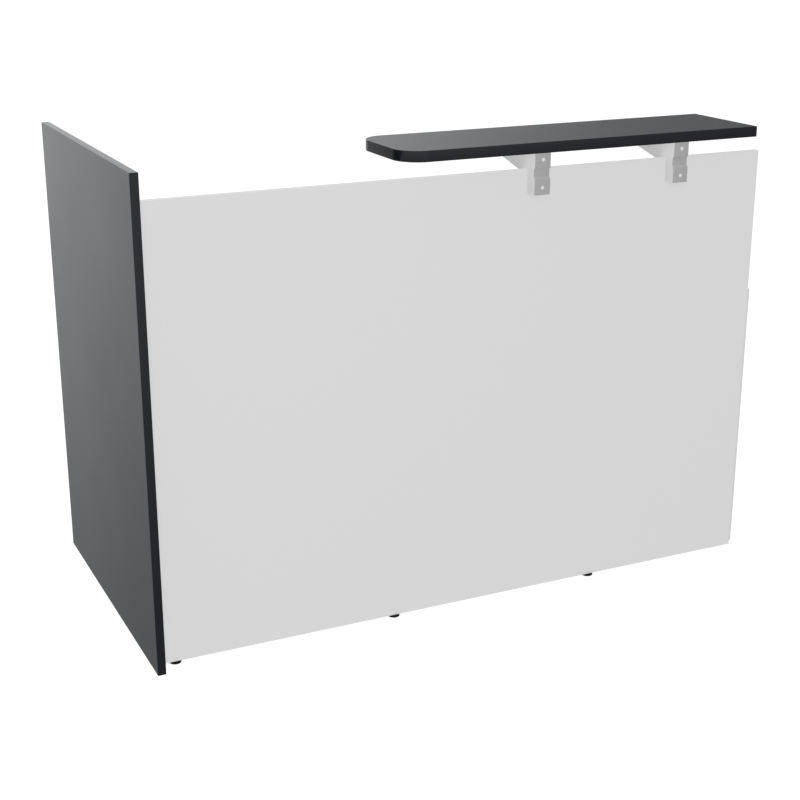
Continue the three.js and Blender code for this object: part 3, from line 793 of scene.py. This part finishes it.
def break_edges(width, *nodes):
    """Sheet metal's cut edges are dulled: a fine bevel on every edge sharper than a fold's facets."""
    for name in nodes:
        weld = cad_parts[name].modifiers.new("joined_facets", "WELD")
        weld.merge_threshold = facet_join
        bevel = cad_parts[name].modifiers.new("dulled_edges", "BEVEL")
        bevel.width = width
        bevel.segments = 2
        bevel.limit_method = "ANGLE"
        bevel.angle_limit = fold_facet_angle


screw_head_radius = 0.0040
screw_head_height = 0.0022
screw_head_rim = 0.0006
screw_shank_radius = 0.0019
cross_width = 0.00055
cross_length = 0.0021
cross_depth = 0.0014
recess_floor_share = 0.9
crown_rings = 6
seat_round_share = 0.15
turned_angle = 30.0


def cross_recess(theta):
    """Outline of a cross recess: the larger of two bars, each min(width / |sin|, length / |cos|)."""
    sine = np.maximum(np.abs(np.sin(theta)), 1e-6)
    cosine = np.maximum(np.abs(np.cos(theta)), 1e-6)
    first = np.minimum(cross_width / sine, cross_length / cosine)
    second = np.minimum(cross_width / cosine, cross_length / sine)
    return np.maximum(first, second)


def screw_head(recess, depth, radius, height, rim):
    """Rings of a domed head, from its recess outwards. The dome's height is -height + (height - rim) *
    (r / radius)^2 with the head's seat at 0. The recess has a flat floor, a share of its outline wide, and
    the rings from its outline to the rim are blended shares of both."""
    def dome(r):
        return -height + (height - rim) * (r / radius) ** 2

    share = np.linspace(0.0, 1.0, crown_rings)[:, None]
    crown = recess + (radius - recess) * share
    floor = np.full_like(recess, depth - height)
    rings = [(np.zeros_like(recess), floor), (recess * recess_floor_share, floor)]
    rings += list(zip(crown, dome(crown)))
    seat_round = seat_round_share * rim
    rings += [(np.full_like(recess, radius), np.full_like(recess, -seat_round))]
    rings += [(np.full_like(recess, radius - seat_round), np.zeros_like(recess))]
    return np.stack([ring[0] for ring in rings]), np.stack([ring[1] for ring in rings])


def screw_axes(direction):
    """Two axes across a screw and one along it, for a unit direction into the board."""
    along = np.asarray(direction, float)
    across = np.roll(along, 1)
    return np.cross(along, across) * -1.0, across, along


def wood_screws(name, places, sheet):
    """Pan-head wood screws in a plate's holes, as one piece: each a head on the sheet and a plain shank
    through it, at a (place on the sheet's face, direction into the board)."""
    head = screw_head(
        cross_recess(full_turn), cross_depth, screw_head_radius, screw_head_height, screw_head_rim
    )
    even = np.ones_like(full_turn)
    shank = np.array([[screw_shank_radius, 0.0], [screw_shank_radius, sheet], [0.0, sheet]])
    radius = np.concatenate([head[0], shank[:, :1] * even])
    height = np.concatenate([head[1], shank[:, 1:] * even])
    points = np.stack([
        turn(place, screw_axes(direction), radius, height, full_turn) for place, direction in places
    ])
    return stand_in(shell(name, points, closed=True, sharp=turned_angle), zinc_steel, "zinc_steel", "desk")


plate_sheet = 0.003
plate_bevel = 0.0004
plate_hole_middle = 0.0175
plate_hole_inset = 0.018
for level in ("lower", "upper"):
    plate = f"corner_angle_{level}"
    low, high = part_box(plate)
    heights = (low.z + plate_hole_inset, high.z - plate_hole_inset)
    into_front = [((high.x - plate_hole_middle, low.y + plate_sheet, z), (0, -1, 0)) for z in heights]
    into_end = [((high.x - plate_sheet, low.y + plate_hole_middle, z), (1, 0, 0)) for z in heights]
    wood_screws(f"{plate}_screws", into_front + into_end, plate_sheet)
    dress(zinc_steel, plate)
    break_edges(plate_bevel, plate)

# Worktop
# The dark board at sitting height behind the front panel, with edging on its free edges. Two ribbed steel
# arms and two plated angle plates are screwed up into it, and cam fittings hold it on the right end panel.
dress(dark_laminate, "worktop")
straight_edging("worktop_cable_edging", X, -OUT_Y, square_ends, dark_edging, "dark_edging")
straight_edging("worktop_user_edging", X, OUT_Y, square_ends, dark_edging, "dark_edging")
straight_edging("worktop_right_edging", Y, OUT_X, round_ends, dark_edging, "dark_edging")
light_steel = finish(
    "light_steel",
    coat_effect,
    bump_height=0.00002,
    values={
        "Colour": (0.68, 0.68, 0.68, 1.0),
        "Speck": (0.73, 0.73, 0.73, 1.0),
        "Peel": 500.0,
        "Roughness": 0.34,
        "Spread": 0.14,
    },
    constants={"Specular IOR Level": 0.4},
)
arm_hole_side = 0.011
arm_hole_inset = 0.022
arm_hole_pitch = 0.050
for side in ("left", "right"):
    arm = f"worktop_arm_{side}"
    low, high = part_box(arm)
    middle = (low.x + high.x) / 2
    sides = (middle - arm_hole_side, middle + arm_hole_side)
    holes = [(x, step) for x in sides for step in (0.0, arm_hole_pitch)]
    into_top = [
        ((x, high.y - arm_hole_inset - step, high.z - plate_sheet), (0, 0, 1)) for x, step in holes
    ]
    into_front = [
        ((x, low.y + plate_sheet, low.z + arm_hole_inset + step), (0, -1, 0)) for x, step in holes
    ]
    wood_screws(f"{arm}_screws", into_top + into_front, plate_sheet)
    dress(light_steel, arm)
    break_edges(plate_bevel, arm)
for place in ("front", "rear"):
    plate = f"worktop_angle_{place}"
    low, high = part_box(plate)
    depths = (low.y + plate_hole_inset, high.y - plate_hole_inset)
    into_end = [((low.x + plate_sheet, y, high.z - plate_hole_middle), (-1, 0, 0)) for y in depths]
    into_top = [((low.x + plate_hole_middle, y, high.z - plate_sheet), (0, 0, 1)) for y in depths]
    wood_screws(f"{plate}_screws", into_end + into_top, plate_sheet)
    dress(zinc_steel, plate)
    break_edges(plate_bevel, plate)

# Counter shelf
# The dark shelf at standing height, rounded at its two left corners. One strip of edging is bent round its
# back edge, rounded end and front edge, and a second closes its square right end.
shelf_corner_radius = 0.060
corner_steps = 24


def wrap_path(low, high):
    """The core's outline from the back edge's right end, round both left corners, to the front edge's right
    end. A corner of radius r about c is c + r * (cos, sin), and outward is that same direction."""
    radius = shelf_corner_radius - edging_thickness
    turn_angle = np.linspace(math.pi / 2, math.pi, corner_steps)
    angle = np.concatenate([[math.pi / 2], turn_angle, turn_angle + math.pi / 2, [1.5 * math.pi]])
    outward = np.stack([np.cos(angle), np.sin(angle), np.zeros_like(angle)], -1)
    rear, front = high.y - shelf_corner_radius, low.y + shelf_corner_radius
    corner = np.empty_like(outward)
    corner[:, 0] = low.x + shelf_corner_radius
    corner[[0, -1], 0] = high.x
    corner[:, 1] = np.repeat([rear, front], len(angle) // 2)
    corner[:, 2] = (low.z + high.z) / 2
    return corner + radius * outward, outward


low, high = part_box("counter_shelf_wrap_edging")
path, outward = wrap_path(low, high)
limit = np.full(len(path), edging_thickness)
points, rub = carry(path, outward, np.eye(3)[Z], (high.z - low.z) / 2, limit)
wrap_strip = shell("counter_shelf_wrap_strip", points, closed=True, rub=rub)
stand_in(wrap_strip, dark_edging, "dark_edging", "desk", "counter_shelf_wrap_edging")
dress(dark_laminate, "counter_shelf")
let_light_past(
    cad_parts["counter_shelf"],
    wrap_strip,
    straight_edging("counter_shelf_right_edging", Y, OUT_X, round_ends, dark_edging, "dark_edging"),
    mirrored=False,
)

# Shelf brackets
# Each is a light powder-coated channel, folded from sheet, that sits over the front panel's top edge, with
# a tapered arm under the shelf and a joggled silver plate across its front, held by bright screws.
silver_steel = finish(
    "silver_steel",
    coat_effect,
    bump_height=0.00001,
    values={
        "Colour": (0.455, 0.455, 0.455, 1.0),
        "Speck": (0.53, 0.53, 0.53, 1.0),
        "Peel": 700.0,
        "Roughness": 0.34,
        "Spread": 0.12,
    },
    constants={"Metallic": 0.25},
)
bright_zinc = finish(
    "bright_zinc",
    metal_effect,
    bump_height=0.000002,
    values={
        "Colour": (0.93, 0.935, 0.94, 1.0),
        "Dull": (0.87, 0.875, 0.88, 1.0),
        "Crystals": 1500.0,
        "Roughness": 0.26,
        "Spread": 0.16,
    },
    constants={"Metallic": 0.3},
)
bend_radius = 0.0045
bend_turn = math.pi / 4
bend_steps = 7
band_above = 0.006
band_below = 0.016
plate_edge = 0.0006
plate_edge_steps = 4
channel_bevel = 0.0005
panel_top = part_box("front_panel_top_edging")[1].z


def joggle(behind, low, high):
    """Side view of the plate's sheet at a distance behind its face, as (y, z) from bottom to top: straight,
    two bends back to the middle band, two forward again, straight. A bend of radius r about c is c + r *
    (cos, sin); its radius shrinks or grows with the distance behind, so both faces stay parallel."""
    inner = bend_radius - plate_sheet
    depth = high.y - low.y - plate_sheet
    radii = bend_radius + inner
    slope = (depth - radii * (1.0 - math.cos(bend_turn))) / math.tan(bend_turn)
    rise = (radii * math.sin(bend_turn) + slope) / 2
    lower, upper = panel_top - band_below, panel_top + band_above
    t = np.linspace(0.0, bend_turn, bend_steps)
    about_rear, about_front = bend_radius - behind, inner + behind
    y = np.concatenate([
        bend_radius - about_rear * np.cos(t),
        depth - inner + about_front * np.cos(t[::-1]),
        depth - inner + about_front * np.cos(t),
        bend_radius - about_rear * np.cos(t[::-1]),
    ], axis=1)
    z = np.concatenate([
        lower - rise + about_rear * np.sin(t),
        lower + rise - about_front * np.sin(t[::-1]),
        upper - rise + about_front * np.sin(t),
        upper + rise - about_rear * np.sin(t[::-1]),
    ], axis=1)
    return low.y + y, z


def front_plate(name):
    """The plate in its CAD solid's box: its section is the sheet's face and back, drawn in by an inset that
    follows a quarter circle at the two cut sides, and drawn together to a line at the very ends."""
    low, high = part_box(name)
    quarter = np.linspace(0.0, math.pi / 2, plate_edge_steps)
    inset = plate_edge * (1.0 - np.sin(quarter))
    step = plate_edge * (1.0 - np.cos(quarter))
    inset = np.concatenate([[plate_sheet / 2], inset, inset[::-1], [plate_sheet / 2]])[:, None]
    x = np.concatenate([[low.x], low.x + step, high.x - step[::-1], [high.x]])[:, None]
    face_y, face_z = joggle(inset, low, high)
    back_y, back_z = joggle(plate_sheet - inset, low, high)
    bottom, top = low.z + inset, high.z - inset
    chamfer = np.minimum(plate_edge, plate_sheet / 2 - inset)
    y = np.concatenate([
        low.y + inset + chamfer, low.y + inset, face_y, low.y + inset, low.y + inset + chamfer,
        low.y + plate_sheet - inset - chamfer, low.y + plate_sheet - inset, back_y[:, ::-1],
        low.y + plate_sheet - inset, low.y + plate_sheet - inset - chamfer,
    ], axis=1)
    z = np.concatenate([
        bottom, bottom + chamfer, face_z, top - chamfer, top,
        top, top - chamfer, back_z[:, ::-1], bottom + chamfer, bottom,
    ], axis=1)
    points = np.stack([np.broadcast_to(x, y.shape), y, z], -1)
    plate = shell(name.replace("front_plate", "joggled_plate"), points, closed=True, sharp=turned_angle)
    return stand_in(plate, silver_steel, "silver_steel", "desk", name)


bolt_head_radius = 0.0042
bolt_head_height = 0.0014
bolt_head_rim = 0.0005
bolt_socket = 0.0015
bolt_socket_depth = 0.0012
bolt_radius = 0.0025
bolt_pitch = 0.0008
bolt_tip = 0.0015
shelf_screw_radius = 0.002
shelf_screw_pitch = 0.0014
shelf_screw_tip = 0.005
screw_thread_steps = 5
tip_share = 0.35


def hex_recess(theta):
    """Outline of a hexagon socket: its apothem over the cosine of the angle from the nearest flat's
    middle."""
    sector = math.pi / 3
    return bolt_socket / np.cos((theta + sector / 2) % sector - sector / 2)


def bracket_screw(name, along, radius, pitch, tip, recess, depth):
    """A screw in its CAD solid's box along an axis: a domed head with a recess, then a thread whose radius
    tapers to a share of itself over the last stretch, at the tip."""
    low, high = (np.array(corner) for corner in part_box(name))
    place = (low + high) / 2
    place[along] = low[along] + bolt_head_height
    length = high[along] - place[along]
    head = screw_head(recess(full_turn), depth, bolt_head_radius, bolt_head_height, bolt_head_rim)
    rings = thread(radius, pitch, 0.0, length, screw_thread_steps, full_turn)
    taper = np.clip((length - rings[1]) / tip, 0.0, 1.0)
    point = (np.zeros((1, len(full_turn))), np.full((1, len(full_turn)), length))
    ring_radius = np.concatenate([head[0], rings[0] * (tip_share + (1.0 - tip_share) * taper), point[0]])
    ring_height = np.concatenate([head[1], rings[1], point[1]])
    axes = screw_axes(np.eye(3)[along])
    points = turn(place, axes, ring_radius, ring_height, full_turn)
    piece = shell(f"{name}_turned", points, closed=True, sharp=turned_angle)
    return stand_in(piece, bright_zinc, "zinc_steel", "desk", name)


for side in ("left", "right"):
    bracket = f"bracket_{side}"
    dress(light_steel, f"{bracket}_channel")
    break_edges(channel_bevel, f"{bracket}_channel")
    dress(zinc_steel, f"{bracket}_cross_block")
    pieces = [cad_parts[f"{bracket}_channel"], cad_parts[f"{bracket}_cross_block"]]
    pieces.append(front_plate(f"{bracket}_front_plate"))
    for bolt in ("upper_screw", "lower_bolt"):
        thread_sizes = (bolt_radius, bolt_pitch, bolt_tip)
        pieces.append(bracket_screw(f"{bracket}_{bolt}", Y, *thread_sizes, hex_recess, bolt_socket_depth))
    for place in ("front", "rear"):
        thread_sizes = (shelf_screw_radius, shelf_screw_pitch, shelf_screw_tip)
        shelf_screw = f"{bracket}_shelf_screw_{place}"
        pieces.append(bracket_screw(shelf_screw, Z, *thread_sizes, cross_recess, cross_depth))
    let_light_past(*pieces, mirrored=False)

low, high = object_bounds()
